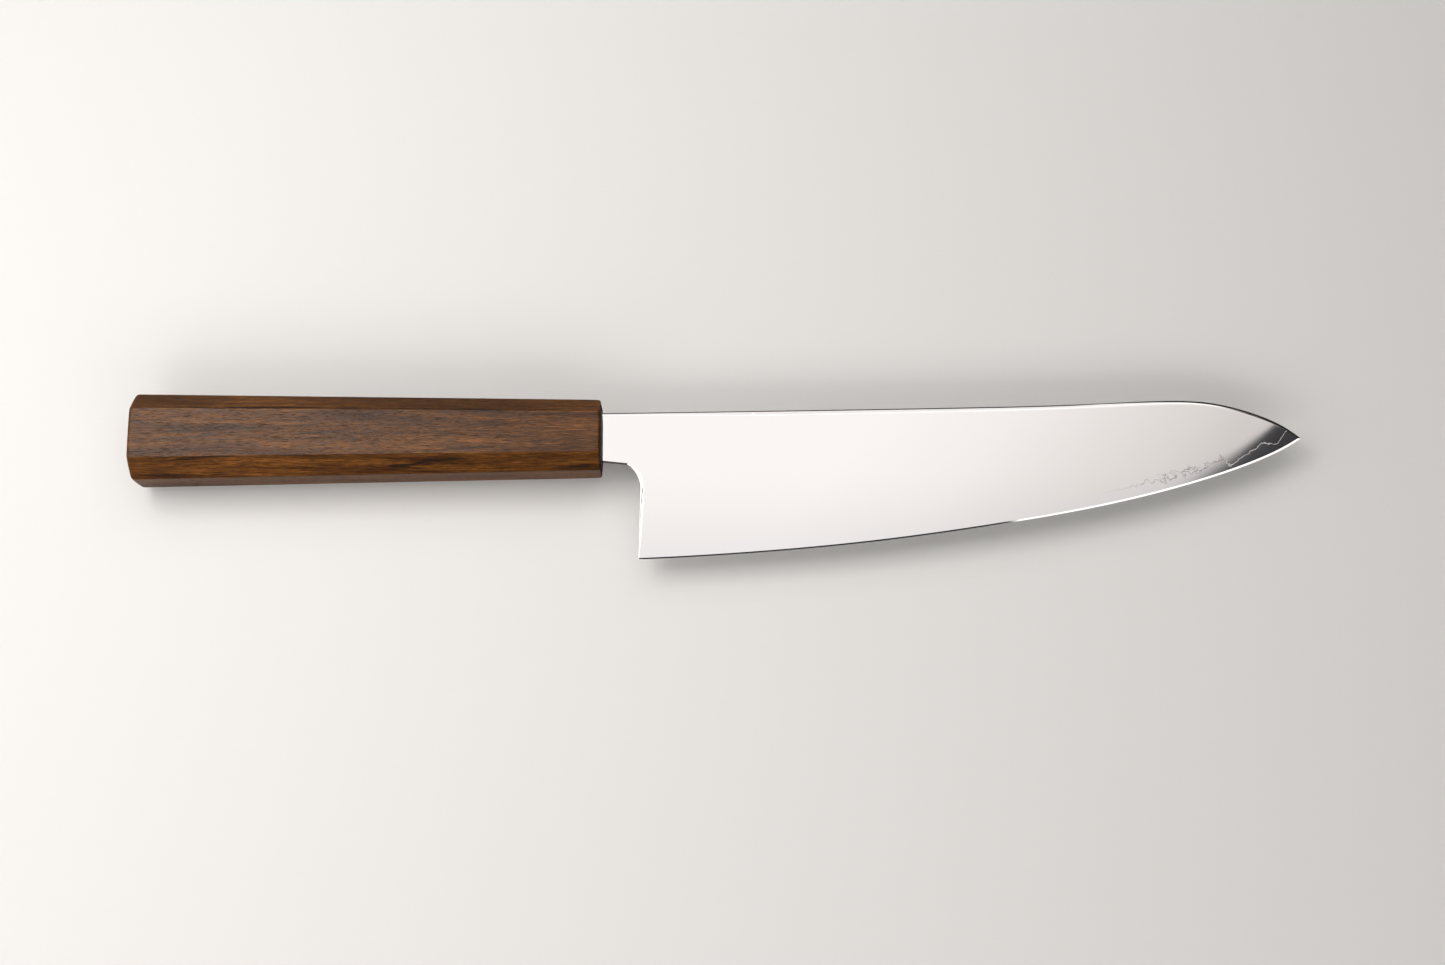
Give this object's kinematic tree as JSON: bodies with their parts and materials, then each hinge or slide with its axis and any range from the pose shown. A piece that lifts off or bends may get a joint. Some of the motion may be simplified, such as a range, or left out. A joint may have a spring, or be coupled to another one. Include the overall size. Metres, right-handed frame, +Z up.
{
  "type": "chef knife",
  "caption": "Chef knife with a tall, gently curved laminated steel blade, a slim neck and choil, and a tapered eight-sided wooden handle, lying on its side.",
  "frame": {"origin": "middle of the underside of the bounding box, with the knife lying on its left side", "axes": "+X runs along the knife from the butt towards the tip, +Y from the edge towards the spine, +Z up through the knife's thickness, from its left side to its right side"},
  "size_m": [0.3704, 0.0528, 0.0236],
  "materials": {
    "core_steel": "polished, slightly darker than the cladding, with a fine cutting bevel",
    "cladding_steel": "near-mirror polish with very fine satin lines",
    "walnut": "oiled satin, long dark streaks along the grain",
    "epoxy": "cured, unseen",
    "seal": "thin grey-brown bead, satin"
  },
  "bodies": {
    "root": {"core_steel": "core_steel", "cladding_right": "cladding_steel", "cladding_left": "cladding_steel", "handle_body": "walnut", "tang_adhesive": "epoxy", "mouth_seal": "seal"}
  },
  "joints": []
}
